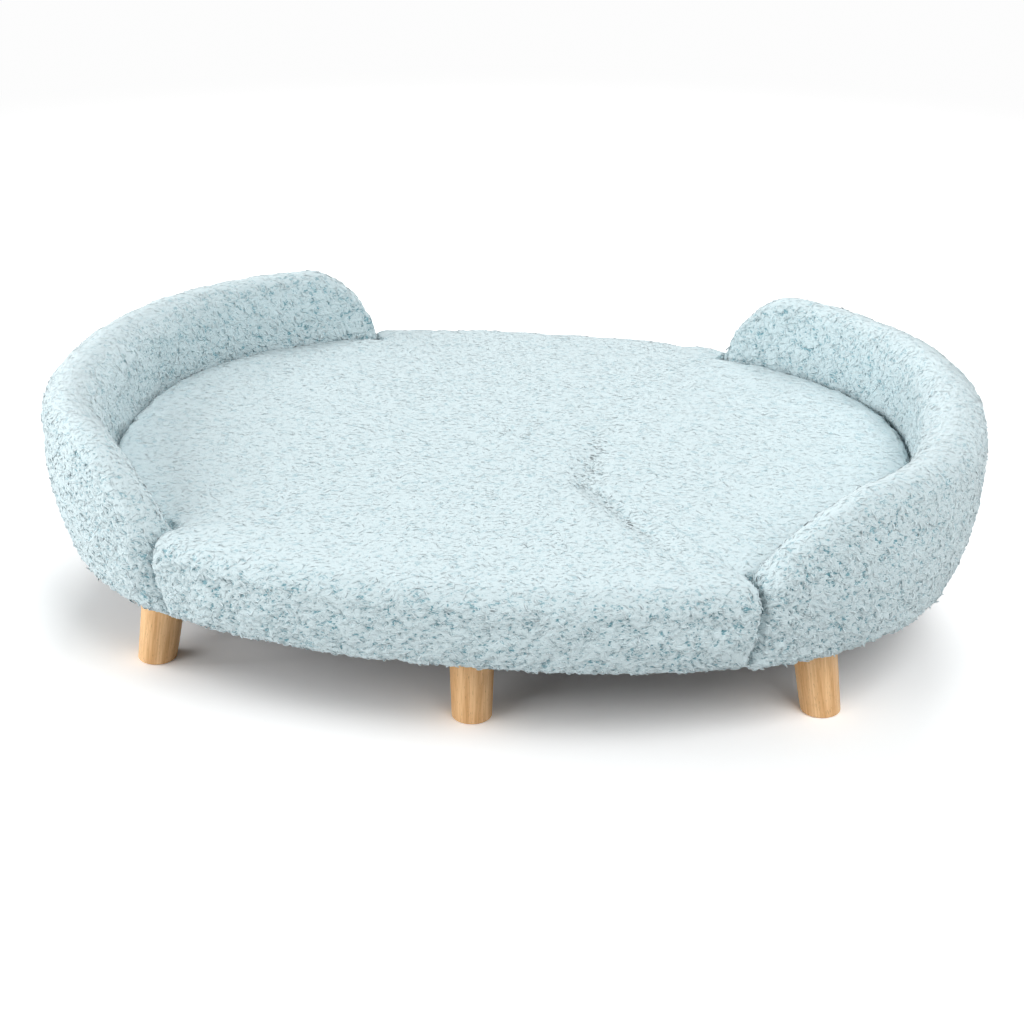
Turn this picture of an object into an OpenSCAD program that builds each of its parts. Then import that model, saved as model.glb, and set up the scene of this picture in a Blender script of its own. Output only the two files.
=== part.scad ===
// Oval dog sofa bed: a raised, padded oval seat between two crescent bolsters,
// covered in curly fleece, on six turned wooden legs.
// Millimetres. X runs along the length, Y towards the back, Z up.
// The origin is on the floor, under the middle of the bed.
// Angles are seen from above, from the +X axis towards +Y.

/* [Overall] */
// Length over the bolsters, at their widest
body_l = 950; // [900:5:1100]
// Width from front to back, at its widest
body_w = 680; // [640:5:780]
// Squareness of the oval plan: 2 is an ellipse
plan_power = 2.25; // [2.1:0.05:2.5]
// Height of the upholstery's underside above the floor
underside_z = 84; // [80:1:120]
// Height of the seat's edge above the underside
seat_rise = 93; // [85:1:110]
// Height of the bolsters' rim above the seat's edge
rim_rise = 79; // [65:1:100]

/* [Upholstery] */
// How far the underside is drawn in from the widest line
underside_in = 24; // [18:1:26]
// Height of the widest line above the underside
belt_rise = 113; // [105:1:125]
// How quickly the wall is drawn in below the widest line
tuck_power = 2; // [1.6:0.1:2.4]
// Radius of the bottom edge
bottom_round = 13; // [11:0.5:14]
// Radius of the seat's edge in the two openings
seat_round = 22; // [16:1:26]
// Radius of the seat's edge where it meets a bolster
seat_round_inner = 9; // [6:0.5:12]
// Rise of the seat from its edge to its middle
seat_crown = 9; // [4:0.5:16]
// Radius of the pulled-in seam between seat and bolster
seam_round = 8; // [7:0.5:10]

/* [Bolsters] */
// Thickness of a bolster at the end of the bed
wall_end = 68; // [64:1:76]
// Thickness that the inner oval leaves at the front and back
wall_side = 37; // [36:1:42]
// Squareness of the inner oval
inner_power = 2.44; // [2.36:0.02:2.5]
// Distance from the middle to the left bolster's front end
front_gap_left = 314; // [280:2:320]
// Distance from the middle to the right bolster's front end
front_gap_right = 282; // [280:2:320]
// Distance from the middle to the left bolster's back end
back_gap_left = 217; // [195:2:250]
// Distance from the middle to the right bolster's back end
back_gap_right = 215; // [195:2:250]
// Length over which the front end rises to the rim
nose_front = 128; // [110:2:150]
// Length over which the back end rises to the rim
nose_back = 77; // [65:2:100]
// Fullness of the front end's curve
nose_front_power = 1.55; // [1.4:0.05:2]
// Fullness of the back end's curve
nose_back_power = 1.8; // [1.5:0.05:2.2]
// Largest height of the rim's round top
rim_round = 30; // [26:1:32]
// How far the inner wall leans outwards at the rim
inner_lean = 5; // [2:0.5:7]

/* [Covers] */
// Thickness of the curly fleece with its backing
cover_t = 5; // [4:0.5:6]
// Thickness of the turned hem under the board
hem_t = 2; // [1.5:0.1:2.5]
// Width of the hem that shows under the board
hem_w = 22; // [16:1:26]
// Thickness of the dust cover
dust_t = 0.8; // [0.6:0.1:1]
// How far the dust cover laps over the hem
dust_lap = 12; // [8:1:14]

/* [Base board] */
// Thickness of the plywood board
board_t = 15; // [12:0.5:16]
// Room between the cover and the board's edge
skirt_t = 7; // [6.5:0.5:8]

/* [Side panels] */
// Thickness of the bent plywood panel inside a bolster
panel_t = 5; // [4:0.5:6]
// Height of the panel's lower edge above the board's underside
panel_lift = 3; // [3:0.5:5]
// Depth of foam between the panel's upper edge and the rim
panel_drop = 34; // [30:1:45]
// Distance from a bolster's front end to its panel
panel_from_front = 52; // [48:1:70]
// Distance from a bolster's back end to its panel
panel_from_back = 140; // [136:2:170]
// Width and height of a glue block
block_w = 14; // [12:0.5:16]
// Length of a glue block
block_l = 46; // [30:2:50]
// Angle between neighbouring glue blocks
block_turn = 13; // [10:0.5:14]
// Diameter of a panel screw
panel_screw_d = 3.5; // [3:0.1:4]
// Length of a panel screw
panel_screw_l = 20; // [16:1:24]
// Diameter of a panel screw's flat head
panel_screw_head_d = 7; // [6:0.1:7.5]
// Number of screws in each panel
panel_screw_count = 8; // [4:1:10]

/* [Legs] */
// Diameter of a leg at the floor
leg_foot_d = 39; // [34:0.5:42]
// Diameter of a leg at its top
leg_top_d = 44; // [40:0.5:48]
// Distance of the corner feet from the ends of the bed
foot_from_end = 144; // [142:1:170]
// Distance of the corner feet from the front and back of the bed
foot_from_side = 153; // [150:1:170]
// Distance of the middle feet from the front and back of the bed
middle_foot_from_side = 88; // [86:1:110]
// Outward lean of the corner legs
splay = 8.5; // [5:0.5:10]
// Direction of the lean, from the length towards the width
splay_turn = 16; // [0:1:40]
// Radius of a foot's bottom edge
foot_round = 2.5; // [1:0.5:4]

/* [Leg fixings] */
// Diameter of the round mounting plate
plate_d = 58; // [56:1:60]
// Thickness of the mounting plate
plate_t = 2.5; // [2:0.1:3]
// Diameter of the plate's hub
hub_d = 26; // [22:0.5:28]
// Height of the hub below the plate
hub_h = 6; // [5.5:0.5:8]
// Diameter of the circle that the plate's screws lie on
screw_circle = 44; // [43:0.5:45]
// Diameter of a plate screw
screw_d = 4; // [3:0.1:4.5]
// Length of a plate screw in the board
screw_l = 11; // [9:0.5:11.5]
// Diameter of a plate screw's head
screw_head_d = 8; // [6:0.1:8.5]
// Height of a plate screw's head
screw_head_h = 2.4; // [1.8:0.1:2.8]
// Diameter of the hanger bolt
hanger_d = 8; // [6:0.5:9]
// Length of the hanger bolt in the leg
hanger_in_leg = 26; // [20:1:34]
// Length of the hanger bolt above the leg
hanger_out = 17; // [14:0.5:18]

/* [Fit] */
// Clearance between pieces that lie against each other
gap = 0.3; // [0.2:0.05:0.4]
// Clearance between a cover and its foam
foam_gap = 0.6; // [0.5:0.1:0.8]
// Clearance round a screw or a bolt
hole_gap = 0.2; // [0.1:0.05:0.3]
// Clearance round a leg's plate
plate_gap = 1; // [0.5:0.1:2]
// Depth of the panel screws' heads inside the panel's face
head_sink = 0.9; // [0.8:0.1:1.2]

/* [Hidden] */

half_turn = 180;
quarter = 90;
full_turn = 360;

// Heights
board_z = underside_z + hem_t;
board_top = board_z + board_t;
seat_z = underside_z + seat_rise;
belt_z = underside_z + belt_rise;
plate_z = board_z - plate_t;
leg_top_z = plate_z - hub_h;

// Plan
half_l = body_l / 2;
half_w = body_w / 2;
board_in = underside_in + cover_t + skirt_t;
panel_in = board_in - panel_t;
board_steps = 96;

// Steps of the soft forms: along a bolster, over its rim, down its wall, round its bottom edge
fine = [24, 9, 5, 3];
coarse = [14, 6, 2, 2];
// Steps of the seat: along a bolster, along an opening, round its bottom edge, up its wall,
// over its top edge
seat_fine = [24, 10, 2, 2, 3];
seat_coarse = [12, 8, 1, 2, 2];
// Share of the foot's width that its bottom edge may take up
foot_share = 0.6;
// Shares of the distance from the seat's middle to its edge, where its crown has a loop
crown_shares = [0.82, 0.48];
crown_power = 2.4;
// Diameter of a plate screw's face, as a share of its head's diameter
head_share = 0.7;

// Colours
wood = "#C8A170";
plywood = "#D9BF94";
fleece = "#D5E5E9";
foam_colour = "#EFE6C8";
steel = "#A9ADB0";
dust_black = "#2B2D2F";

// Distance from the middle to an oval's outline, in the direction a
function oval_r(a, l, w, power) =
    pow(pow(abs(cos(a)) / l, power) + pow(abs(sin(a)) / w, power), -1 / power);
function outer_r(a) = oval_r(a, half_l, half_w, plan_power);
function inner_r(a) = oval_r(a, half_l - wall_end, half_w - wall_side, inner_power);
function polar(a, r, z) = [r * cos(a), r * sin(a), z];

// Direction from the middle to the point of the outline that lies gap_half along the length
function seam_angle(gap_half) =
    atan2(half_w * pow(1 - pow(gap_half / half_l, plan_power), 1 / plan_power), gap_half);

// Direction that the wall faces at the direction a
function facing(a) = atan2(
    sign(sin(a)) * pow(abs(sin(a)), plan_power - 1) / pow(half_w, plan_power),
    sign(cos(a)) * pow(abs(cos(a)), plan_power - 1) / pow(half_l, plan_power));

// Directions of the seams between seat and bolsters
front_right = seam_angle(front_gap_right);
back_right = seam_angle(back_gap_right);
front_left = seam_angle(front_gap_left);
back_left = seam_angle(back_gap_left);
seams = [-front_right, back_right, half_turn - back_left, half_turn + front_left];

// Angle that a length d takes up along the outline, at the direction a
function turn_of(d, a) = d / outer_r(a) * half_turn / PI;

// Spacing that is close at both ends and wide in the middle
function ease(u) = (1 - cos(half_turn * u)) / 2;

// How far the wall is drawn in at the height z
function tuck(z) = underside_in * pow(max(0, (belt_z - z) / belt_rise), tuck_power);

// How far a seam pulls the wall in, at the distance c from it
function crease(c) = c >= seam_round ? 0 : seam_round - sqrt(pow(seam_round, 2) - pow(seam_round - c, 2));

// Share of the full height that a bolster's end has reached at the share t of its length
function nose(t, power) = t >= 1 ? 1 : t <= 0 ? 0 : pow(1 - pow(1 - t, power), 1 / power);

// Distances along the wall from a bolster's front and back ends
function from_end(a, end) = norm(polar(a, outer_r(a), 0) - polar(end, outer_r(end), 0));
function rim_z(a, front, back, d) = seat_z + rim_rise * min(
    nose((from_end(a, -front) - d) / nose_front, nose_front_power),
    nose((from_end(a, back) - d) / nose_back, nose_back_power));

// Solid between loops of points: each loop runs anticlockwise, seen from the next one
function loft_faces(count, size) = [
    for (i = [0:count - 2], j = [0:size - 1]) each [
        [i * size + j, (i + 1) * size + j, (i + 1) * size + (j + 1) % size],
        [i * size + j, (i + 1) * size + (j + 1) % size, i * size + (j + 1) % size]],
    for (j = [0:size - 1]) [count * size, j, (j + 1) % size],
    for (j = [0:size - 1]) [count * size + 1, (count - 1) * size + (j + 1) % size, (count - 1) * size + j]];

module loft(loops, first_hub, last_hub) {
    polyhedron(
        points = concat([for (one = loops) each one], [first_hub, last_hub]),
        faces = loft_faces(len(loops), len(loops[0])),
        convexity = 10);
}

// Section of a bolster in the direction a, drawn in by d on every side, down to the height base.
// Its foot reaches in as far as the hem does, and is foot_h high.
function bolster_section(a, front, back, d, base, foot_h, steps) =
    let (
        c = max(0, min(from_end(a, -front), from_end(a, back)) - d),
        outer = outer_r(a) - d - crease(c),
        inner = inner_r(a) + gap + d,
        top = rim_z(a, front, back, d) - d,
        lean = inner_lean * max(0, top + d - seat_z) / rim_rise,
        rise = min(rim_round - d, (outer - inner - lean) / 2),
        shoulder = top - rise,
        rim_out = outer - tuck(shoulder),
        half_rim = (rim_out - inner - lean) / 2,
        low = base + bottom_round - d,
        low_out = outer - tuck(low),
        curve_in = min(bottom_round - d, (low_out - inner) * foot_share),
        foot_r = outer_r(a) - board_in - hem_w)
    concat(
        [polar(a, foot_r, base), polar(a, foot_r, base + foot_h)],
        [polar(a, inner, base + foot_h + gap), polar(a, inner, min(seat_z, shoulder) - rise)],
        [for (i = [0:steps[1]]) let (t = half_turn * (1 - i / steps[1]))
            polar(a, rim_out - half_rim + half_rim * cos(t), shoulder + rise * sin(t))],
        [for (i = [1:steps[2]]) let (z = shoulder + (low - shoulder) * i / steps[2])
            polar(a, outer - tuck(z), z)],
        [for (i = [1:steps[3]]) let (t = quarter * i / steps[3])
            polar(a, low_out - curve_in + curve_in * cos(t), low - (low - base) * sin(t))]);

// Point inside the foot of that section, which sees all of its outline
function foot_hub(a, d, base, foot_h) =
    let (
        inner = inner_r(a) + gap + d,
        low_out = outer_r(a) - d - seam_round - tuck(base + bottom_round - d))
    polar(a, (inner + low_out) / 2, base + foot_h / 2);

// Soft form of a bolster that runs from its front end, round +X, to its back end
module bolster_form(front, back, d, base, foot_h, steps) {
    first = -front + turn_of(d + gap, front);
    last = back - turn_of(d + gap, back);
    loops = [for (i = [0:steps[0]])
        let (a = first + (last - first) * ease(i / steps[0]))
        bolster_section(a, front, back, d, base, foot_h, steps)];
    loft(loops, foot_hub(first, d, base, foot_h), foot_hub(last, d, base, foot_h));
}

// One loop round the seat. In an opening it follows the outer oval, drawn in by open_in, at the
// height open_z. Elsewhere it follows the inner oval, drawn in by wall_in, at the height wall_z.
// The openings are narrower by side_in at each end.
function seat_loop(open_in, open_z, wall_in, wall_z, side_in, steps) = [
    for (k = [0:3])
        let (
            walled = k % 2 == 0,
            side = turn_of(side_in, seams[k]) * (walled ? -1 : 1),
            first = seams[k] + side,
            last = (k < 3 ? seams[k + 1] : seams[0] + full_turn) - side,
            count = walled ? steps[0] : steps[1])
        for (i = [0:count])
            let (
                a = first + (last - first) * ease(i / count),
                c = min(from_end(a, first), from_end(a, last)))
            walled
                ? polar(a, inner_r(a) - wall_in, wall_z)
                : polar(a, outer_r(a) - open_in - crease(c), open_z)];

// Soft form of the seat, drawn in by d on every side, down to the height base
module seat_form(d, base, steps) {
    top = seat_z - d;
    round_open = seat_round - d;
    round_wall = seat_round_inner - d;
    low = base + bottom_round - d;
    open_shoulder = top - round_open;
    wall_shoulder = top - round_wall;
    foot = [for (i = [0:steps[2] - 1]) let (t = quarter * (1 - i / steps[2]))
        seat_loop(
            tuck(low) + d + (low - base) * (1 - cos(t)), low - (low - base) * sin(t),
            d, low - (low - base) * sin(t), d, steps)];
    wall = [for (i = [0:steps[3] - 1]) let (u = i / steps[3], z = low + (open_shoulder - low) * u)
        seat_loop(tuck(z) + d, z, d, low + (wall_shoulder - low) * u, d, steps)];
    edge = [for (i = [0:steps[4]]) let (t = quarter * i / steps[4])
        seat_loop(
            tuck(open_shoulder) + d + round_open * (1 - cos(t)), open_shoulder + round_open * sin(t),
            d + round_wall * (1 - cos(t)), wall_shoulder + round_wall * sin(t),
            d + round_wall * (1 - cos(t)), steps)];
    crown = [for (share = crown_shares)
        [for (p = edge[steps[4]])
            [p[0] * share, p[1] * share, top + seat_crown * (1 - pow(share, crown_power))]]];
    loft(concat(foot, wall, edge, crown), [0, 0, base], [0, 0, top + seat_crown]);
}

// Outline that lies inside the widest line by d
function outline(d) = [for (i = [0:board_steps - 1])
    let (a = full_turn * i / board_steps) [(outer_r(a) - d) * cos(a), (outer_r(a) - d) * sin(a)]];

// Room that the board takes up in the upholstery
module board_room() {
    translate([0, 0, board_z])
        linear_extrude(board_t + gap)
            polygon(outline(board_in - gap));
}

// Room under the board, inside the hem of the seat's cover and over both bolsters' hems
module underside_room() {
    steps = [board_steps / 4, board_steps / 4];
    translate([0, 0, underside_z - hem_t])
        linear_extrude(2 * hem_t + board_t)
            polygon([for (p = seat_loop(board_in + hem_w, 0, -wall_end, 0, -gap, steps)) [p[0], p[1]]]);
}

// Legs: side_x is -1, 0 or 1 from left to right, side_y is -1 at the front and 1 at the back
corners = [for (side_y = [-1, 1], side_x = [-1:1]) [side_x, side_y]];

function lean_of(side_x) = side_x == 0 ? 0 : splay;
function leg_length(side_x) = leg_top_z / cos(lean_of(side_x));
function heading(side_x, side_y) = atan2(side_y * sin(splay_turn), side_x * cos(splay_turn));
function leg_point(side_x, side_y, z) =
    let (
        inward = z * tan(lean_of(side_x)),
        h = heading(side_x, side_y),
        foot_x = half_l - foot_from_end,
        foot_y = half_w - (side_x == 0 ? middle_foot_from_side : foot_from_side))
    [side_x * foot_x - inward * cos(h), side_y * foot_y - inward * sin(h), z];

// Places its children along a leg: Z runs up the leg's axis from its foot
module along_leg(side_x, side_y) {
    translate(leg_point(side_x, side_y, 0))
        rotate([0, 0, heading(side_x, side_y)])
            rotate([0, -lean_of(side_x), 0])
                children();
}

// Places its children at each screw of a plate, on the plate's underside
module at_plate_screws(side_x, side_y) {
    translate(leg_point(side_x, side_y, plate_z))
        for (k = [0:3])
            rotate([0, 0, quarter * (k + 1 / 2)])
                translate([screw_circle / 2, 0, 0])
                    children();
}

// Room round the plates in the dust cover and the hems
module plate_room() {
    for (corner = corners)
        translate(leg_point(corner[0], corner[1], leg_top_z))
            cylinder(d = plate_d + 2 * plate_gap, h = board_z - leg_top_z + gap, $fn = 64);
}

module leg(side_x, side_y) {
    length = leg_length(side_x);
    spread = (leg_top_d - leg_foot_d) / 2 + length * tan(lean_of(side_x)) + foot_round;
    color(wood)
        difference() {
            intersection() {
                along_leg(side_x, side_y)
                    translate([0, 0, -foot_round * 4])
                        cylinder(
                            d1 = leg_foot_d - (leg_top_d - leg_foot_d) * foot_round * 4 / length,
                            d2 = leg_top_d, h = length + foot_round * 4, $fn = 96);
                translate(leg_point(side_x, side_y, 0))
                    rotate_extrude($fn = 96)
                        polygon(concat(
                            [[0, 0]],
                            [for (t = [0:quarter / 4:quarter]) [
                                leg_foot_d / 2 + gap - foot_round * (1 - sin(t)),
                                foot_round * (1 - cos(t))]],
                            [[leg_foot_d / 2 + spread, length], [leg_foot_d / 2 + spread, 2 * length],
                                [0, 2 * length]]));
            }
            along_leg(side_x, side_y)
                translate([0, 0, length - hanger_in_leg - hole_gap])
                    cylinder(d = hanger_d + 2 * hole_gap, h = 2 * hanger_in_leg, $fn = 48);
        }
}

module mounting_plate(side_x, side_y) {
    length = leg_length(side_x);
    color(steel)
        difference() {
            union() {
                translate(leg_point(side_x, side_y, plate_z))
                    cylinder(d = plate_d, h = plate_t, $fn = 96);
                intersection() {
                    along_leg(side_x, side_y)
                        translate([0, 0, length])
                            cylinder(d = hub_d, h = 2 * hub_h, $fn = 64);
                    translate(leg_point(side_x, side_y, 0))
                        cylinder(d = 2 * plate_d, h = plate_z + plate_t / 2, $fn = 64);
                }
            }
            along_leg(side_x, side_y)
                cylinder(d = hanger_d + 2 * hole_gap, h = 2 * length, $fn = 48);
            at_plate_screws(side_x, side_y)
                translate([0, 0, -hub_h])
                    cylinder(d = screw_d + 2 * hole_gap, h = 2 * hub_h, $fn = 32);
        }
}

module hanger_bolts() {
    color(steel)
        for (corner = corners)
            along_leg(corner[0], corner[1])
                translate([0, 0, leg_length(corner[0]) - hanger_in_leg])
                    cylinder(d = hanger_d, h = hanger_in_leg + hanger_out, $fn = 48);
}

module plate_screws() {
    color(steel)
        for (corner = corners)
            at_plate_screws(corner[0], corner[1]) {
                cylinder(d = screw_d, h = plate_t + screw_l, $fn = 32);
                translate([0, 0, -screw_head_h / 2])
                    cylinder(d = screw_head_d, h = screw_head_h / 2, $fn = 32);
                translate([0, 0, -screw_head_h])
                    cylinder(d1 = screw_head_d * head_share, d2 = screw_head_d, h = screw_head_h / 2, $fn = 32);
            }
}

// Side panels: their facets and the board's have the same corners
board_turn = full_turn / board_steps;
function panel_first(front) = ceil((turn_of(panel_from_front, front) - front) / board_turn) * board_turn;
function panel_last(back) = floor((back - turn_of(panel_from_back, back)) / board_turn) * board_turn;

module panel_form(front, back, d, low) {
    first = panel_first(front) - turn_of(d, front);
    last = panel_last(back) + turn_of(d, back);
    count = round((panel_last(back) - panel_first(front)) / board_turn);
    loops = [for (i = [0:count])
        let (
            a = i == 0 ? first : i == count ? last : panel_first(front) + i * board_turn,
            inner = outer_r(a) - board_in - d,
            outer = outer_r(a) - panel_in + d,
            high = rim_z(a, front, back, panel_from_front / 2) - panel_drop + d)
        [polar(a, inner, low), polar(a, inner, high), polar(a, outer, high), polar(a, outer, low)]];
    loft(loops, (loops[0][0] + loops[0][2]) / 2, (loops[count][0] + loops[count][2]) / 2);
}

// Places its children at each panel screw: Z points into the board from the panel's outer face
module at_panel_screws(front, back) {
    first = panel_first(front);
    last = panel_last(back);
    for (k = [1:panel_screw_count]) {
        a = first + (last - first) * (k - 1 / 2) / panel_screw_count;
        translate(polar(a, outer_r(a) - panel_in - head_sink, board_z + board_t / 2))
            rotate([0, -quarter, facing(a)])
                children();
    }
}

// A panel screw, with its flat head at the start of Z
module panel_screw() {
    cylinder(d = panel_screw_d, h = panel_screw_l, $fn = 24);
    cylinder(d1 = panel_screw_head_d, d2 = panel_screw_d,
        h = (panel_screw_head_d - panel_screw_d) / 2, $fn = 24);
}

// Countersunk hole for a panel screw, open towards the cover
module panel_screw_room() {
    cylinder(d = panel_screw_d + 2 * hole_gap, h = panel_screw_l + hole_gap, $fn = 24);
    cylinder(d1 = panel_screw_head_d + 2 * hole_gap, d2 = panel_screw_d + 2 * hole_gap,
        h = (panel_screw_head_d - panel_screw_d) / 2, $fn = 24);
    translate([0, 0, -2 * head_sink])
        cylinder(d = panel_screw_head_d + 2 * hole_gap, h = 2 * head_sink, $fn = 24);
}

// The blocks stand on the board against the panel, wider by d
module blocks_form(d) {
    intersection() {
        for (k = [-1:1])
            translate(polar(k * block_turn, outer_r(k * block_turn) - board_in, board_top))
                rotate([0, 0, facing(k * block_turn)])
                    translate([-block_w - d, -block_l / 2 - d, -d])
                        cube([2 * block_w, block_l + 2 * d, block_w + 2 * d]);
        translate([0, 0, board_top - 2 * d])
            linear_extrude(2 * block_w)
                polygon(outline(board_in - d));
    }
}

// The pieces of one bolster, drawn at the right
module side_panel(front, back) {
    color(plywood)
        difference() {
            panel_form(front, back, 0, board_z + panel_lift);
            at_panel_screws(front, back)
                panel_screw_room();
        }
}

module glue_blocks() {
    color(wood)
        blocks_form(0);
}

module bolster_foam(front, back) {
    color(foam_colour)
        difference() {
            bolster_form(front, back, cover_t + foam_gap, board_z + foam_gap, board_t - foam_gap, coarse);
            board_room();
            panel_form(front, back, gap, underside_z);
            blocks_form(gap);
        }
}

module bolster_cover(front, back) {
    color(fleece)
        difference() {
            bolster_form(front, back, 0, underside_z, hem_t, fine);
            bolster_form(front, back, cover_t, board_z, board_t, coarse);
            board_room();
            plate_room();
        }
}

module panel_screws() {
    color(steel) {
        at_panel_screws(front_right, back_right)
            panel_screw();
        mirror([1, 0, 0])
            at_panel_screws(front_left, back_left)
                panel_screw();
    }
}

module base_board() {
    color(plywood)
        difference() {
            translate([0, 0, board_z])
                linear_extrude(board_t)
                    polygon(outline(board_in));
            for (corner = corners) {
                translate(leg_point(corner[0], corner[1], board_z - hub_h))
                    cylinder(d = hanger_d + 2 * hub_h, h = hub_h + hanger_out - board_t / 3, $fn = 48);
                at_plate_screws(corner[0], corner[1])
                    cylinder(d = screw_d + 2 * hole_gap, h = plate_t + screw_l + hole_gap, $fn = 32);
            }
            at_panel_screws(front_right, back_right)
                panel_screw_room();
            mirror([1, 0, 0])
                at_panel_screws(front_left, back_left)
                    panel_screw_room();
        }
}

module dust_cover() {
    color(dust_black)
        difference() {
            translate([0, 0, underside_z - dust_t])
                linear_extrude(dust_t)
                    polygon(outline(board_in + hem_w - dust_lap));
            plate_room();
        }
}

module seat_foam() {
    color(foam_colour)
        difference() {
            seat_form(cover_t + foam_gap, board_z + foam_gap, seat_coarse);
            board_room();
        }
}

module seat_cover() {
    // Zeros keep the size: the cover comes back as one closed skin of triangles
    color(fleece)
        resize([0, 0, 0])
            difference() {
                seat_form(0, underside_z, seat_fine);
                seat_form(cover_t, board_z, seat_coarse);
                board_room();
                underside_room();
                plate_room();
            }
}

base_board();
dust_cover();
seat_foam();
seat_cover();
mirror([1, 0, 0]) side_panel(front_left, back_left);  // side_panel_left
mirror([1, 0, 0]) glue_blocks();  // glue_blocks_left
mirror([1, 0, 0]) bolster_foam(front_left, back_left);  // bolster_foam_left
mirror([1, 0, 0]) bolster_cover(front_left, back_left);  // bolster_cover_left
side_panel(front_right, back_right);  // side_panel_right
glue_blocks();  // glue_blocks_right
bolster_foam(front_right, back_right);  // bolster_foam_right
bolster_cover(front_right, back_right);  // bolster_cover_right
panel_screws();
leg(-1, -1);  // leg_front_left
leg(0, -1);  // leg_front_middle
leg(1, -1);  // leg_front_right
leg(-1, 1);  // leg_back_left
leg(0, 1);  // leg_back_middle
leg(1, 1);  // leg_back_right
mounting_plate(-1, -1);  // plate_front_left
mounting_plate(0, -1);  // plate_front_middle
mounting_plate(1, -1);  // plate_front_right
mounting_plate(-1, 1);  // plate_back_left
mounting_plate(0, 1);  // plate_back_middle
mounting_plate(1, 1);  // plate_back_right
hanger_bolts();
plate_screws();
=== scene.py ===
# %% [markdown]
# # An oval dog sofa bed in curly fleece
# A raised, padded oval seat lies between two crescent bolsters, on six turned wooden legs.
# The construction (board, panels, plates, screws and legs) comes from a frame that is already
# measured and stays as it is. This lesson makes what is soft, then gives every surface its finish.
# Everything is in metres: X along the length, Y towards the back, Z up, the floor at zero.

# %% Load the frame
import math

import bpy
import numpy as np
from mathutils import Matrix, Vector


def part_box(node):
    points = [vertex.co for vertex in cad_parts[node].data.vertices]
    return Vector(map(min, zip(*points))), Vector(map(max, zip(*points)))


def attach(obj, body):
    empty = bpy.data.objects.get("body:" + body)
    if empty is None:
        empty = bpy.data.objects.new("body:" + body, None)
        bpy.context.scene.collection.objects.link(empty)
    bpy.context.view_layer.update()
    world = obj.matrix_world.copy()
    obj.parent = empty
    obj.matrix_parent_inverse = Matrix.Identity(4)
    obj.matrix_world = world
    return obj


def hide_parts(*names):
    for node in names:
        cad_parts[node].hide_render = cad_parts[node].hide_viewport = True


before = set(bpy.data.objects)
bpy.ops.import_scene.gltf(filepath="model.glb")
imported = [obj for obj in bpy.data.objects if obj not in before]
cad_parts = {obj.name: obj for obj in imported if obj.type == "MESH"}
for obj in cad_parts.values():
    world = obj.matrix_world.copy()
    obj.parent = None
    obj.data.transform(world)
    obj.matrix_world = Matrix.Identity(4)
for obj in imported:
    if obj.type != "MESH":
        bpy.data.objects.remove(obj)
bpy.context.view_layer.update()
MM = 0.001

# %% [markdown]
# ## One helper for nodes
# Materials and Geometry Nodes are both trees of nodes. A tree is easier to read when each node
# takes one line, so this helper adds a node, sets its options, and either links each input or
# fills it in. An input is named by its label, or by its number where two share a label.

# %% Helpers for nodes and colours
def add(tree, kind, options=None, inputs=None):
    node = tree.nodes.new(kind)
    for name, value in (options or {}).items():
        setattr(node, name, value)
    for name, value in (inputs or {}).items():
        if isinstance(value, bpy.types.Node):
            value = value.outputs[0]
        if isinstance(value, bpy.types.NodeSocket):
            tree.links.new(value, node.inputs[name])
        else:
            node.inputs[name].default_value = value
    return node


def hex_colour(code):
    """An sRGB hex code as the linear colour that shaders use."""
    parts = [int(code[i:i + 2], 16) / 255 for i in (1, 3, 5)]
    linear = [p / 12.92 if p <= 0.04045 else ((p + 0.055) / 1.055) ** 2.4 for p in parts]
    return (*linear, 1)


def new_material(name):
    """An empty material with its output, and a Principled shader in it."""
    material = bpy.data.materials.new(name)
    material.use_nodes = True
    tree = material.node_tree
    tree.nodes.clear()
    shader = add(tree, "ShaderNodeBsdfPrincipled")
    add(tree, "ShaderNodeOutputMaterial", inputs={"Surface": shader})
    return material, tree, shader


def finish_with(node_names, material):
    for name in node_names:
        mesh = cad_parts[name].data
        mesh.materials.clear()
        mesh.materials.append(material)

# %% [markdown]
# ## The camera
# The photo was fitted with a long lens from a little over two metres away, slightly from the
# right and 25 degrees above the floor. The camera is built from its three axes, so that its small
# roll is one more turn of the same axes and not a separate correction.

# %% Camera
VIEW_TURN = math.radians(8.28)
VIEW_RISE = math.radians(25.44)
VIEW_ROLL = math.radians(0.42)
VIEW_DISTANCE = 2400 * MM
VIEW_TARGET = Vector((7.4 * MM, 0, 92.9 * MM))
LENS_MM = 81
FRAME_PX = 1024
CENTRE_PX = (6.7, 5.0)

back = Vector((
    math.sin(VIEW_TURN) * math.cos(VIEW_RISE),
    -math.cos(VIEW_TURN) * math.cos(VIEW_RISE),
    math.sin(VIEW_RISE)))
level = Vector((math.cos(VIEW_TURN), math.sin(VIEW_TURN), 0))
upright = back.cross(level)
right = level * math.cos(VIEW_ROLL) + upright * math.sin(VIEW_ROLL)
up = upright * math.cos(VIEW_ROLL) - level * math.sin(VIEW_ROLL)

lens = bpy.data.cameras.new("camera")
lens.sensor_width = 36
lens.lens = LENS_MM
lens.shift_x = -CENTRE_PX[0] / FRAME_PX
lens.shift_y = CENTRE_PX[1] / FRAME_PX
camera = bpy.data.objects.new("camera", lens)
camera.matrix_world = Matrix.Translation(VIEW_TARGET + back * VIEW_DISTANCE) @ Matrix(
    (right, up, back)).transposed().to_4x4()
bpy.context.scene.collection.objects.link(camera)
bpy.context.scene.camera = camera
print("lens in mm", round(lens.lens, 1))

# %% [markdown]
# ## The plan of the bed
# The bed is drawn as a superellipse, a curve between an oval and a rounded rectangle. Its polar
# form gives the distance from the middle for any direction, so seat and bolsters can share it:
# whatever one piece gives up at a seam, the other takes over. The heights come from the frame.

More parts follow.
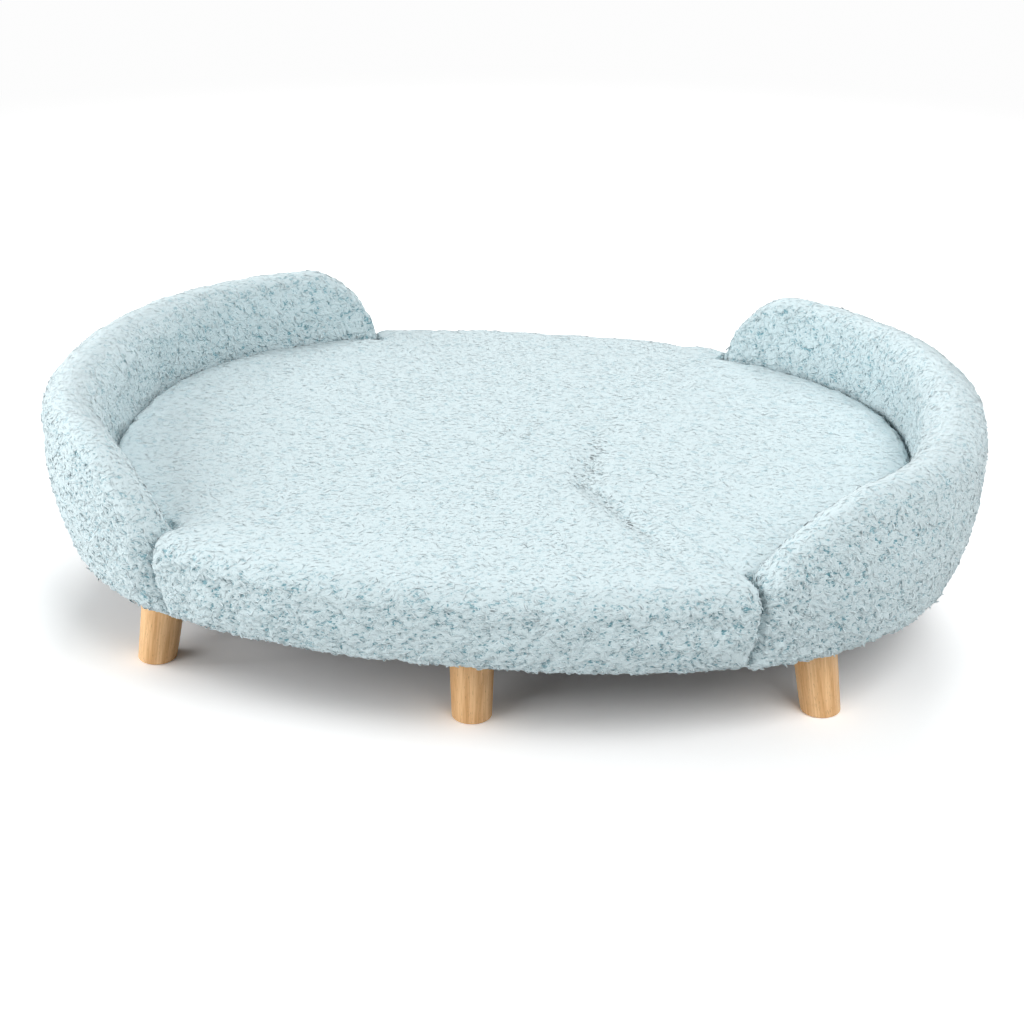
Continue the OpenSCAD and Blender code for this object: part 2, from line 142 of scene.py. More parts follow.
# %% Plan and heights
HALF_L = 475 * MM
HALF_W = 340 * MM
PLAN_POWER = 2.25
WALL_END = 68 * MM
WALL_SIDE = 37 * MM
INNER_POWER = 2.44
UNDERSIDE_IN = 24 * MM
TUCK_POWER = 2
BOTTOM_ROUND = 13 * MM
SEAM_ROUND = 8 * MM
CLEARANCE = 0.3 * MM
BELT_RISE = 113 * MM

underside_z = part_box("seat_cover")[0][2]
rim_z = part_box("bolster_cover_right")[1][2]
board_low, board_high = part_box("base_board")
rim_rise = 79 * MM
seat_z = rim_z - rim_rise
belt_z = underside_z + BELT_RISE
board_z = board_low[2]
board_top = board_high[2] + CLEARANCE
board_in = HALF_L - board_high[0]
print("seat edge, rim, board in mm", round(seat_z / MM), round(rim_z / MM), round(board_z / MM))


def oval_r(angle, half_l, half_w, power):
    along = np.abs(np.cos(angle)) / half_l
    across = np.abs(np.sin(angle)) / half_w
    return (along ** power + across ** power) ** (-1 / power)


def outer_r(angle):
    return oval_r(angle, HALF_L, HALF_W, PLAN_POWER)


def inner_r(angle):
    return oval_r(angle, HALF_L - WALL_END, HALF_W - WALL_SIDE, INNER_POWER)


def seam_angle(gap_half):
    across = HALF_W * (1 - (gap_half / HALF_L) ** PLAN_POWER) ** (1 / PLAN_POWER)
    return math.atan2(across, gap_half)


def tuck(z):
    """How far the wall is drawn in at the height z."""
    return UNDERSIDE_IN * np.maximum(0, (belt_z - z) / BELT_RISE) ** TUCK_POWER


def point(angle, r, z):
    return np.stack([r * np.cos(angle), r * np.sin(angle), np.broadcast_to(z, np.shape(r))], axis=-1)


def from_end(angle, end):
    """Distance along the widest line from a seam."""
    return np.linalg.norm(point(angle, outer_r(angle), 0) - point(end, outer_r(end), 0), axis=-1)


def crease(distance):
    """How far a seam pulls the wall in."""
    rest = np.clip(SEAM_ROUND - distance, 0, SEAM_ROUND)
    return SEAM_ROUND - np.sqrt(SEAM_ROUND ** 2 - rest ** 2)


def nose(share, power):
    """Share of the full height that a bolster's end has reached."""
    share = np.clip(share, 0, 1)
    return (1 - (1 - share) ** power) ** (1 / power)


FRONT_GAP = {"left": 314 * MM, "right": 282 * MM}
BACK_GAP = {"left": 217 * MM, "right": 215 * MM}
front_seam = {side: seam_angle(gap) for side, gap in FRONT_GAP.items()}
back_seam = {side: seam_angle(gap) for side, gap in BACK_GAP.items()}
print("front seams in degrees", {side: round(math.degrees(a), 1) for side, a in front_seam.items()})

# %% [markdown]
# ## From loops of points to a closed skin
# Both soft shapes are lofts: a list of loops with the same number of points, joined by quads.
# A grid of quads about 9 mm wide is fine enough to bend smoothly and coarse enough for the cloth
# simulation. A second value at each point says how much pile grows there, so that none is wasted
# on faces that press against the board or against the neighbouring cushion.

# %% Loft
def loft(name, loops, pile):
    """A closed mesh through loops of equal length, with pile (0 to 1) kept as an attribute."""
    count, size = len(loops), len(loops[0])
    points = np.concatenate([
        np.reshape(loops, (-1, 3)), [np.mean(loops[0], axis=0)], [np.mean(loops[-1], axis=0)]])
    faces = []
    for i in range(count - 1):
        for j in range(size):
            k = (j + 1) % size
            faces.append((i * size + j, i * size + k, (i + 1) * size + k, (i + 1) * size + j))
    for j in range(size):
        k = (j + 1) % size
        faces.append((count * size, k, j))
        faces.append((count * size + 1, (count - 1) * size + j, (count - 1) * size + k))
    mesh = bpy.data.meshes.new(name)
    mesh.from_pydata(points.tolist(), [], faces)
    values = np.concatenate([np.ravel(pile), [np.mean(pile[0])], [np.mean(pile[-1])]])
    mesh.attributes.new("pile", "FLOAT", "POINT").data.foreach_set("value", values.astype(np.float32))
    piece = bpy.data.objects.new(name, mesh)
    bpy.context.scene.collection.objects.link(piece)
    return piece


def read_points(mesh):
    flat = np.empty(len(mesh.vertices) * 3)
    mesh.vertices.foreach_get("co", flat)
    return flat.reshape(-1, 3)


def write_points(mesh, points):
    mesh.vertices.foreach_set("co", points.ravel())
    mesh.update()

# %% [markdown]
# ## The seat
# On the real bed the seat is a slab of foam with a fleece cover that is pulled down over the edge
# of the board and turned under it. Its edge is a big soft curve in the two openings and a tighter
# one where it meets a bolster. The loops run from the board, out round the hem, up the wall, over
# the edge and in to the middle of the crown. Each loop follows the outer oval in the openings and
# the inner oval elsewhere, so one table of heights and insets makes it all.

# %% Seat sizes
SEAT_ROUND = 22 * MM
SEAT_ROUND_INNER = 9 * MM
SEAT_CROWN = 9 * MM
CROWN_POWER = 2.4
HEM_W = 22 * MM
PILE = 2.6 * MM
TOP_PILE = 1 * MM
GRID = 9 * MM
TURN = 2 * math.pi
EASE = 0.55
# Rows of quads round the bottom edge, up the wall, over the seat's edge and in to the middle
BOTTOM_ROWS = 5
WALL_ROWS = 9
EDGE_ROWS = 7
CROWN_ROWS = int(0.75 * HALF_W / GRID)
# A direction's turn times this length is about the distance along the outline
MEAN_R = 0.85 * HALF_L
# Keeps rows apart that would lie on each other where a bolster hides the seat's wall
HAIR = GRID / 10
# Shares of the full pile: where it is half hidden, and next to an edge where it starts
PILE_HIDDEN = 0.5
PILE_NEAR_EDGE = 0.6
# Shares of a hidden wall's height, from below, that carry no pile
BARE_SEAT_WALL = 0.8
BARE_BOLSTER_WALL = 0.5

# %% Seat shape
def eased(first, last, count):
    """Directions that crowd a little towards both ends."""
    u = np.linspace(0, 1, count)
    return first + (last - first) * (u - np.sin(TURN * u) / TURN * EASE)


# The four stretches of the outline: its first and last direction, whether a bolster stands there,
# and its number of points
seat_zones = [
    (first, last, walled, int((last - first) * MEAN_R / GRID)) for first, last, walled in [
        (-front_seam["right"], back_seam["right"], True),
        (back_seam["right"], math.pi - back_seam["left"], False),
        (math.pi - back_seam["left"], math.pi + front_seam["left"], True),
        (math.pi + front_seam["left"], TURN - front_seam["right"], False)]]


def seat_loop(open_in, open_z, wall_in, wall_z, side_in):
    loop = []
    for first, last, walled, count in seat_zones:
        side = side_in / outer_r(first) * (-1 if walled else 1)
        angle = eased(first + side, last - side, count)
        if walled:
            loop.append(point(angle, inner_r(angle) - wall_in, wall_z))
        else:
            gap = np.minimum(from_end(angle, first + side), from_end(angle, last - side))
            loop.append(point(angle, outer_r(angle) - open_in - crease(gap), open_z))
    return np.concatenate(loop)


def seat_rows(d):
    """Rows of inset and height in the openings, inset and height at a bolster, and both piles."""
    low = underside_z + BOTTOM_ROUND
    top = seat_z - TOP_PILE
    open_round, wall_round = SEAT_ROUND - d, SEAT_ROUND_INNER - d
    open_shoulder, wall_shoulder = top - open_round, top - wall_round
    rim = board_in + CLEARANCE
    hem = board_in + HEM_W
    wall_low = board_top + HAIR
    rows = [
        (rim, board_top, GRID, board_top, 0, 0),
        (rim, board_z, GRID * 0.8, board_top, 0, 0),
        (hem, board_z, GRID * 0.6, board_top, 0, 0),
        (hem, underside_z, GRID * 0.4, board_top, 0, 0),
        (board_in + HEM_W / 2, underside_z, GRID * 0.2, board_top, PILE_HIDDEN, 0)]
    for t in np.radians(np.linspace(90, 15, BOTTOM_ROWS)):
        rows.append((
            tuck(low) + d + BOTTOM_ROUND * (1 - math.cos(t)), low - BOTTOM_ROUND * math.sin(t),
            d, wall_low - HAIR * math.sin(t), 1, 0))
    for u in np.linspace(0, 1, WALL_ROWS)[:-1]:
        z = low + (open_shoulder - low) * u
        wall_pile = 0 if u < BARE_SEAT_WALL else PILE_NEAR_EDGE
        rows.append((tuck(z) + d, z, d, wall_low + (wall_shoulder - wall_low) * u, 1, wall_pile))
    for t in np.radians(np.linspace(0, 90, EDGE_ROWS)):
        rows.append((
            tuck(open_shoulder) + d + open_round * (1 - math.cos(t)),
            open_shoulder + open_round * math.sin(t),
            d + wall_round * (1 - math.cos(t)), wall_shoulder + wall_round * math.sin(t), 1, 1))
    return rows


def make_seat():
    loops, pile = [], []
    walled = np.concatenate([np.full(count, wall) for _, _, wall, count in seat_zones])
    for open_in, open_z, wall_in, wall_z, open_pile, wall_pile in seat_rows(PILE):
        loops.append(seat_loop(open_in, open_z, wall_in, wall_z, PILE))
        pile.append(np.where(walled, wall_pile, open_pile))
    edge = loops[-1]
    for share in np.linspace(1, 0, CROWN_ROWS)[1:-1]:
        crown = SEAT_CROWN * (1 - share ** CROWN_POWER)
        loops.append(edge * (share, share, 1) + (0, 0, crown))
        pile.append(np.ones(len(edge)))
    return loft("seat_cushion", loops, pile)


seat = make_seat()
print("seat quads", len(seat.data.polygons))

# %% [markdown]
# ## Two soft folds
# A cover of thick fleece is cut a little larger than its foam, so that it can be pulled on. The
# slack shows as two shallow valleys in the seat that meet in a V. Each is a line with a smooth
# hollow across it that fades out towards its far end. The attribute "crease" keeps where they are,
# because the pile, which is pressed flat elsewhere on top, stands up in them.

# %% Folds
FOLD_POINT = (88 * MM, -110 * MM)
FOLD_ENDS = [(100 * MM, 105 * MM), (204 * MM, -261 * MM)]
FOLD_WIDTH = 9 * MM
FOLD_DEPTH = 6 * MM

points = read_points(seat.data)
top_points = points[:, 2] > seat_z - 2 * PILE
sink = np.zeros(len(points))
for end in FOLD_ENDS:
    start = np.array(FOLD_POINT)
    line = np.array(end) - start
    share = np.clip((points[:, :2] - start) @ line / (line @ line), 0, 1)
    away = np.linalg.norm(points[:, :2] - start - share[:, None] * line, axis=1)
    sink = np.maximum(sink, np.exp(-(away / FOLD_WIDTH) ** 2) * (1 - share ** 2))
sink *= top_points
points[:, 2] -= FOLD_DEPTH * sink
write_points(seat.data, points)
seat.data.attributes.new("crease", "FLOAT", "POINT").data.foreach_set(
    "value", sink.astype(np.float32))
print("fold depth in mm", round(float((FOLD_DEPTH * sink).max()) / MM, 1))

# %% [markdown]
# ## The bolsters
# A bolster is one crescent of foam round a thin bent panel. Its section is a wall with a round
# top. It is thick at the end of the bed and thin where it reaches round towards the openings, and
# there its rim falls to the seat in a nose. The section is swept round the middle of the bed, and
# the seam at each end pulls the skin in by a few millimetres, which gives the soft V of the photo.

# %% Bolster sizes
NOSE_FRONT = 128 * MM
NOSE_BACK = 77 * MM
NOSE_FRONT_POWER = 1.55
NOSE_BACK_POWER = 1.8
RIM_ROUND = 30 * MM
INNER_LEAN = 5 * MM
FOOT_SHARE = 0.6
# Rows up the inner wall to the seat's edge, past that edge, over the rim, down the outer wall and
# round the bottom edge
INNER_ROWS = 11
PASSING_ROWS = 7
RIM_ROWS = 15
OUTER_ROWS = 14
UNDER_ROWS = 6

# %% Bolster shape
def bolster_section(angle, side, d):
    """Radius, height and pile round one section: hem, board, inner wall, rim, outer wall, hem."""
    front = float(from_end(angle, -front_seam[side])) - d
    behind = float(from_end(angle, back_seam[side])) - d
    outer = outer_r(angle) - d - float(crease(max(0, min(front, behind))))
    inner = inner_r(angle) + CLEARANCE + d
    height = min(nose(front / NOSE_FRONT, NOSE_FRONT_POWER), nose(behind / NOSE_BACK, NOSE_BACK_POWER))
    top = seat_z + rim_rise * float(height) - d
    lean = INNER_LEAN * max(0, top + d - seat_z) / rim_rise
    rise = min(RIM_ROUND - d, (outer - inner - lean) / 2)
    shoulder = top - rise
    rim_out = outer - tuck(shoulder)
    half_rim = (rim_out - inner - lean) / 2
    low = underside_z + BOTTOM_ROUND
    low_out = outer - tuck(low)
    curve = min(BOTTOM_ROUND, (low_out - inner) * FOOT_SHARE)
    foot = outer_r(angle) - board_in - HEM_W
    board_edge = max(outer_r(angle) - board_in + CLEARANCE, inner + CLEARANCE)
    waist = min(seat_z, shoulder) - rise
    rows = [(foot, board_z, 0), (board_edge, board_z, 0), (board_edge, board_top, 0)]
    for u in np.linspace(0, 1, INNER_ROWS)[1:-1]:
        wall_pile = 0 if u < BARE_BOLSTER_WALL else PILE_HIDDEN
        rows.append((inner, board_top + (waist - board_top) * u, wall_pile))
    for u in np.linspace(0, 1, PASSING_ROWS)[:-1]:
        z = waist + (shoulder - waist) * u
        rows.append((inner + lean * u, z, 1 if z > seat_z - 2 * GRID else PILE_HIDDEN))
    for t in np.radians(np.linspace(180, 0, RIM_ROWS)):
        rows.append((rim_out - half_rim + half_rim * math.cos(t), shoulder + rise * math.sin(t), 1))
    for u in np.linspace(0, 1, OUTER_ROWS)[1:]:
        z = shoulder + (low - shoulder) * u
        rows.append((outer - tuck(z), z, 1))
    for t in np.radians(np.linspace(0, 90, UNDER_ROWS))[1:]:
        rows.append((low_out - curve + curve * math.cos(t), low - BOTTOM_ROUND * math.sin(t), 1))
    rows += [((foot + low_out - curve) / 2, underside_z, PILE_NEAR_EDGE), (foot, underside_z, 0)]
    return rows


def make_bolster(side):
    first = -front_seam[side] + PILE / outer_r(front_seam[side])
    last = back_seam[side] - PILE / outer_r(back_seam[side])
    loops, pile = [], []
    for angle in eased(first, last, int((last - first) * HALF_L / GRID)):
        rows = bolster_section(angle, side, PILE)
        loops.append([(r * math.cos(angle), r * math.sin(angle), z) for r, z, _ in rows])
        pile.append([share for _, _, share in rows])
    loops = np.array(loops)
    if side == "left":
        loops = loops[::-1] * (-1, 1, 1)
        pile = pile[::-1]
    return loft(f"bolster_{side}", list(loops), pile)


bolsters = {side: make_bolster(side) for side in ("left", "right")}
print("bolster quads", {side: len(piece.data.polygons) for side, piece in bolsters.items()})

# %% [markdown]
# ## Faces outward, then a little air
# A closed skin has a signed volume that is positive when its faces look outward, which makes a
# quick test. The cloth simulation then lets a light pressure fill each skin. Where no pile grows
# the skin is held, as the staples and the neighbouring cushion hold it. The movement is capped, so
# the measured shape stays and only its small tensions and dimples come from the cloth.

# %% Cloth
PRESSURE = 4
FRAMES = 20
PUFF_CAP = 2.2 * MM
SHRINK = -0.012
HELD_BELOW = 0.9


def volume_of(mesh):
    mesh.calc_loop_triangles()
    corners = read_points(mesh)[np.array([t.vertices for t in mesh.loop_triangles])]
    return float(np.einsum("ij,ij->i", corners[:, 0], np.cross(corners[:, 1], corners[:, 2])).sum() / 6)


def baked(piece):
    """Applies every modifier of a piece."""
    depsgraph = bpy.context.evaluated_depsgraph_get()
    mesh = bpy.data.meshes.new_from_object(
        piece.evaluated_get(depsgraph), preserve_all_data_layers=True, depsgraph=depsgraph)
    piece.modifiers.clear()
    piece.data = mesh


def puff(piece):
    rest = read_points(piece.data)
    held = piece.vertex_groups.new(name="held")
    for index, value in enumerate(piece.data.attributes["pile"].data):
        held.add([index], 1.0 if value.value < HELD_BELOW else 0.0, "REPLACE")
    cloth = piece.modifiers.new("cloth", "CLOTH").settings
    cloth.quality = 6
    cloth.use_pressure = True
    cloth.uniform_pressure_force = PRESSURE
    cloth.vertex_group_mass = held.name
    cloth.shrink_min = SHRINK
    cloth.effector_weights.gravity = 0
    for number in range(1, FRAMES + 1):
        bpy.context.scene.frame_set(number)
    baked(piece)
    move = read_points(piece.data) - rest
    length = np.linalg.norm(move, axis=1, keepdims=True)
    capped = move * (PUFF_CAP / np.maximum(length, PUFF_CAP))
    write_points(piece.data, rest + capped)
    bpy.context.scene.frame_set(1)
    print(piece.name, "moved by at most", round(float(length.max()) / MM, 1), "mm before the cap")


soft_pieces = [seat, *bolsters.values()]
for piece in soft_pieces:
    print(piece.name, "litres", round(volume_of(piece.data) * 1000, 2))
    assert volume_of(piece.data) > 0, piece.name
    puff(piece)

# %% [markdown]
# ## The fleece
# Curly fleece is a knitted backing with short polyester fibres brushed up through it and then
# curled by heat, so that they stand in small comma-shaped locks. Light is lost between the locks
# and scattered back at their tips, which is why the gaps look deeper and bluer than the cloth. That
# shade is painted into the colour: the material mixes a deeper, bluer gap colour, which is painted
# shade, with the tip colours by the height of the tufts and a fine noise that is stretched along the
# bed, as combed pile is, with a tint of its own for each lock. A lock is not a hard bead: light
# passes through its fibres, so part of its shading comes from the ground that it stands on. On top,
# where the pile is pressed and closed, that share is larger than on the walls, and less of the
# painted gap shade is mixed in.

# %% Fleece material
# Painted shade for the gaps between tufts and locks, deeper and bluer than the tips
PILE_GAP_SHADE = hex_colour("#78A7B3")
PILE_TIP = hex_colour("#D5E6EA")
PILE_PALE = hex_colour("#DEECF0")
SOFTEN_WALL = 0.35
SOFTEN_TOP = 0.96
# Share of the painted gap shade that is taken away where the skin faces straight up
CLOSED_TOP = 0.5
STRAND_SCALE = 350
STRAND_DEPTH = 2.6 * MM
LIE = (0.5, 1, 1)
GAP_LEVEL = 0.44
CREST_LEVEL = 0.64
TIP_SHARE = 0.28

fleece, tree, shader = new_material("polyester_curly_fleece")
# Polyester fibres, knitted, brushed up and heat-curled: dull, with a soft sheen at grazing angles
tip = add(tree, "ShaderNodeAttribute", {"attribute_name": "tip"})
shade = add(tree, "ShaderNodeAttribute", {"attribute_name": "shade"})
ground = add(tree, "ShaderNodeAttribute", {"attribute_name": "ground"})
place = add(tree, "ShaderNodeTexCoord").outputs["Object"]
combed = add(tree, "ShaderNodeVectorMath", {"operation": "MULTIPLY"}, {0: place, 1: LIE})
strands = add(tree, "ShaderNodeTexNoise", None, {
    "Vector": combed, "Scale": STRAND_SCALE, "Detail": 2, "Distortion": 1.6})
on_top = add(tree, "ShaderNodeSeparateXYZ", None, {0: ground.outputs["Vector"]}).outputs["Z"]
closed = add(tree, "ShaderNodeMapRange", None, {"Value": on_top, "To Max": CLOSED_TOP})
level = add(tree, "ShaderNodeMath", {"operation": "MULTIPLY_ADD"}, {
    0: tip.outputs["Fac"], 1: TIP_SHARE, 2: strands})
# Where the tufts are low and the strands' noise dips, the colour turns to the painted gap shade, less of it
# on top
lift = add(tree, "ShaderNodeMapRange", {"interpolation_type": "SMOOTHSTEP"}, {
    "Value": level, "From Min": GAP_LEVEL, "From Max": CREST_LEVEL, "To Min": closed})
crest = add(tree, "ShaderNodeMix", {"data_type": "RGBA"}, {
    0: shade.outputs["Fac"], 6: PILE_TIP, 7: PILE_PALE})
colour = add(tree, "ShaderNodeMix", {"data_type": "RGBA"}, {0: lift, 6: PILE_GAP_SHADE, 7: crest.outputs[2]})
fuzz = add(tree, "ShaderNodeBump", None, {
    "Height": strands, "Strength": 0.8, "Distance": STRAND_DEPTH})
soften = add(tree, "ShaderNodeMapRange", None, {
    "Value": on_top, "To Min": SOFTEN_WALL, "To Max": SOFTEN_TOP})
leaning = add(tree, "ShaderNodeVectorMath", {"operation": "SCALE"}, {
    0: ground.outputs["Vector"], "Scale": soften})
firm = add(tree, "ShaderNodeMath", {"operation": "SUBTRACT"}, {0: 1.0, 1: soften})
own = add(tree, "ShaderNodeVectorMath", {"operation": "SCALE"}, {0: fuzz, "Scale": firm})
facing = add(tree, "ShaderNodeVectorMath", {"operation": "ADD"}, {0: own, 1: leaning})
facing = add(tree, "ShaderNodeVectorMath", {"operation": "NORMALIZE"}, {0: facing})
tree.links.new(colour.outputs[2], shader.inputs["Base Color"])
tree.links.new(facing.outputs[0], shader.inputs["Normal"])
shader.inputs["Roughness"].default_value = 0.95
shader.inputs["Specular IOR Level"].default_value = 0.2
shader.inputs["Sheen Weight"].default_value = 0.25
shader.inputs["Sheen Roughness"].default_value = 0.5

# %% [markdown]
# ## Growing the pile
# Geometry Nodes grow the pile in two layers. The skin is divided until it can hold tufts a few
# millimetres wide, and a swirled noise lifts it into a dense mass with narrow comma-shaped gaps.
# Then points are spread over it, no two closer than a chosen distance, and each carries one of
# three thin curls, turned, leaned and scaled by its own random numbers. Where the skin faces up,
# both layers are pressed down to a share of their height. The names on the group's inputs are what
# one would change for a longer, thinner or less trodden pile.

# %% Geometry Nodes for the pile
SKIN_DIVISIONS = 2
TUFT_HEIGHT = 2.8 * MM
TUFT_SCALE = 150
TUFT_VALLEY = 0.32
TUFT_CREST = 0.6
LOCK_SPACING = 4.6 * MM
LOCK_LENGTH = 7.5 * MM
LOCK_RADIUS = 1.0 * MM
PRESSED = 0.07
LUMP_HEIGHT = 5 * MM
LUMP_SCALE = 42
LOCK_LEAN = 0.1
LOCK_TURN = 0.65
LOCK_TIP = 0.8
LOCK_SMALLEST = (0.6, 0.7, 0.7)
LOCK_LARGEST = (1.2, 1.2, 1.1)
LOCKS_PER_M2 = 400000
# For each of three locks: how far it arches up and how far it curls aside, as shares of its length
LOCK_SHAPES = [(0.20, 0.28), (0.16, 0.5), (0.24, -0.4)]


def new_group(name, inputs):
    """A Geometry Nodes group with a geometry in and out and named inputs."""
    group = bpy.data.node_groups.new(name, "GeometryNodeTree")
    group.interface.new_socket("Geometry", in_out="OUTPUT", socket_type="NodeSocketGeometry")
    group.interface.new_socket("Geometry", in_out="INPUT", socket_type="NodeSocketGeometry")
    for label, kind in inputs.items():
        group.interface.new_socket(label, in_out="INPUT", socket_type=f"NodeSocket{kind}")
    return group, add(group, "NodeGroupInput").outputs


def run_group(piece, group, values):
    """Runs the group on the piece with those values, and keeps the result as its mesh."""
    modifier = piece.modifiers.new(group.name, "NODES")
    modifier.node_group = group
    for socket in group.interface.items_tree:
        if socket.in_out == "INPUT" and socket.name in values:
            modifier[socket.identifier] = values[socket.name]
    baked(piece)


def random_value(tree, kind, low, high, seed):
    """A random float, integer or vector for each point, with its own seed."""
    order = ("FLOAT_VECTOR", "FLOAT", "INT").index(kind)
    node = add(tree, "FunctionNodeRandomValue", {"data_type": kind}, {
        order * 2: low, order * 2 + 1: high, "Seed": seed})
    return node.outputs[order]


def store(tree, geometry, name, domain, value, kind="FLOAT"):
    node = add(tree, "GeometryNodeStoreNamedAttribute", {"data_type": kind, "domain": domain}, {
        "Geometry": geometry, "Value": value})
    node.inputs["Name"].default_value = name
    return node


pile_group, given = new_group("curly_pile", {
    "Tufts": "Float", "Spacing": "Float", "Length": "Float", "Radius": "Float", "Lumps": "Float",
    "Pressed": "Float", "Seed": "Int", "Material": "Material"})
growth = add(pile_group, "GeometryNodeInputNamedAttribute", {"data_type": "FLOAT"}, {"Name": "pile"})
normal = add(pile_group, "GeometryNodeInputNormal")
spot = add(pile_group, "GeometryNodeInputPosition")
skin = given["Geometry"]
for _ in range(SKIN_DIVISIONS):
    skin = add(pile_group, "GeometryNodeSubdivideMesh", None, {"Mesh": skin, "Level": 1})
    even = add(pile_group, "GeometryNodeBlurAttribute", {"data_type": "FLOAT_VECTOR"}, {
        "Value": spot, "Iterations": 2})
    skin = add(pile_group, "GeometryNodeSetPosition", None, {"Geometry": skin, "Position": even})
skin = store(pile_group, skin, "ground", "POINT", normal, "FLOAT_VECTOR")

tufts = add(pile_group, "ShaderNodeTexNoise", None, {
    "Scale": TUFT_SCALE, "Detail": 2, "Roughness": 0.55, "Distortion": 1.3})
tufts = add(pile_group, "ShaderNodeMapRange", {"interpolation_type": "SMOOTHSTEP"}, {
    "Value": tufts, "From Min": TUFT_VALLEY, "From Max": TUFT_CREST})
# The tufts' height is kept as the attribute tip, and the fleece material paints shade where it is low
skin = store(pile_group, skin, "tip", "POINT", tufts)


def stand_up(way):
    """How far the pile stands up where the skin faces that way: pressed on top, but not in folds."""
    rise = add(pile_group, "ShaderNodeSeparateXYZ", None, {0: way}).outputs["Z"]
    rise = add(pile_group, "ShaderNodeMapRange", None, {
        "Value": rise, "To Min": 1.0, "To Max": given["Pressed"]})
    fold = add(pile_group, "GeometryNodeInputNamedAttribute", {"data_type": "FLOAT"}, {"Name": "crease"})
    return add(pile_group, "ShaderNodeMath", {"operation": "MAXIMUM"}, {0: rise, 1: fold})


stand = stand_up(normal)
raised = add(pile_group, "ShaderNodeMath", {"operation": "MULTIPLY"}, {0: tufts, 1: given["Tufts"]})
raised = add(pile_group, "ShaderNodeMath", {"operation": "MULTIPLY"}, {0: raised, 1: stand})
lumps = add(pile_group, "ShaderNodeTexNoise", None, {"Scale": LUMP_SCALE, "Detail": 1})
lumps = add(pile_group, "ShaderNodeMath", {"operation": "SUBTRACT"}, {0: lumps, 1: 0.5})
height = add(pile_group, "ShaderNodeMath", {"operation": "MULTIPLY_ADD"}, {
    0: lumps, 1: given["Lumps"], 2: raised})
height = add(pile_group, "ShaderNodeMath", {"operation": "MULTIPLY"}, {0: height, 1: growth})
offset = add(pile_group, "ShaderNodeVectorMath", {"operation": "SCALE"}, {0: normal, "Scale": height})
skin = add(pile_group, "GeometryNodeSetPosition", None, {"Geometry": skin, "Offset": offset})

scatter = add(pile_group, "GeometryNodeDistributePointsOnFaces", {"distribute_method": "POISSON"}, {
    "Mesh": skin, "Distance Min": given["Spacing"], "Density Max": LOCKS_PER_M2,
    "Density Factor": growth, "Seed": given["Seed"]})

profile = add(pile_group, "GeometryNodeCurvePrimitiveCircle", None, {
    "Resolution": 3, "Radius": given["Radius"]})
kinds = add(pile_group, "GeometryNodeGeometryToInstance")
for arch, curl in LOCK_SHAPES:
    ends = []
    # The root, the bend and the end of a curl: it leaves the skin, arches and dips into it again
    for shape in [(-0.4, 0, -0.1), (0, curl * 0.4, arch), (0.4, curl, -0.08)]:
        ends.append(add(pile_group, "ShaderNodeVectorMath", {"operation": "SCALE"}, {
            0: shape, "Scale": given["Length"]}))
    bend = add(pile_group, "GeometryNodeCurveQuadraticBezier", None, {
        "Resolution": 3, "Start": ends[0], "Middle": ends[1], "End": ends[2]})
    reach = add(pile_group, "GeometryNodeSplineParameter")
    bend = store(pile_group, bend, "tip", "POINT", LOCK_TIP)
    # Full to the middle, then thinner, to half at the end
    full = add(pile_group, "ShaderNodeMapRange", None, {
        "Value": reach.outputs["Factor"], "From Min": 0.4, "To Min": 1.0, "To Max": 0.5})
    tube = add(pile_group, "GeometryNodeCurveToMesh", None, {
        "Curve": bend, "Profile Curve": profile, "Scale": full, "Fill Caps": True})
    tube = add(pile_group, "GeometryNodeSetShadeSmooth", None, {"Geometry": tube})
    pile_group.links.new(tube.outputs[0], kinds.inputs[0])

lean = random_value(
    pile_group, "FLOAT_VECTOR", (-LOCK_LEAN, -LOCK_LEAN, -LOCK_TURN), (LOCK_LEAN, LOCK_LEAN, LOCK_TURN), 11)
lean = add(pile_group, "FunctionNodeEulerToRotation", None, {"Euler": lean})
standing = add(pile_group, "FunctionNodeAlignRotationToVector", {"axis": "Z"}, {
    "Vector": scatter.outputs["Normal"]})
turned = add(pile_group, "FunctionNodeRotateRotation", {"rotation_space": "LOCAL"}, {
    "Rotation": standing, "Rotate By": lean})
size = random_value(pile_group, "FLOAT_VECTOR", LOCK_SMALLEST, LOCK_LARGEST, 12)
flat = add(pile_group, "ShaderNodeCombineXYZ", None, {
    "X": 1.0, "Y": 1.0, "Z": stand_up(scatter.outputs["Normal"])})
size = add(pile_group, "ShaderNodeVectorMath", {"operation": "MULTIPLY"}, {0: size, 1: flat})
locks = add(pile_group, "GeometryNodeInstanceOnPoints", None, {
    "Points": scatter, "Instance": kinds, "Pick Instance": True,
    "Instance Index": random_value(pile_group, "INT", 0, len(LOCK_SHAPES) - 1, 13),
    "Rotation": turned, "Scale": size})
locks = store(pile_group, locks, "shade", "INSTANCE", random_value(pile_group, "FLOAT", 0.0, 1.0, 14))
locks = store(pile_group, locks, "ground", "INSTANCE", scatter.outputs["Normal"], "FLOAT_VECTOR")
locks = add(pile_group, "GeometryNodeRealizeInstances", None, {"Geometry": locks})
smooth_skin = add(pile_group, "GeometryNodeSetShadeSmooth", None, {"Geometry": skin})
both = add(pile_group, "GeometryNodeJoinGeometry")
for part in (smooth_skin, locks):
    pile_group.links.new(part.outputs[0], both.inputs[0])
dressed = add(pile_group, "GeometryNodeSetMaterial", None, {
    "Geometry": both, "Material": given["Material"]})
add(pile_group, "NodeGroupOutput", None, {0: dressed})

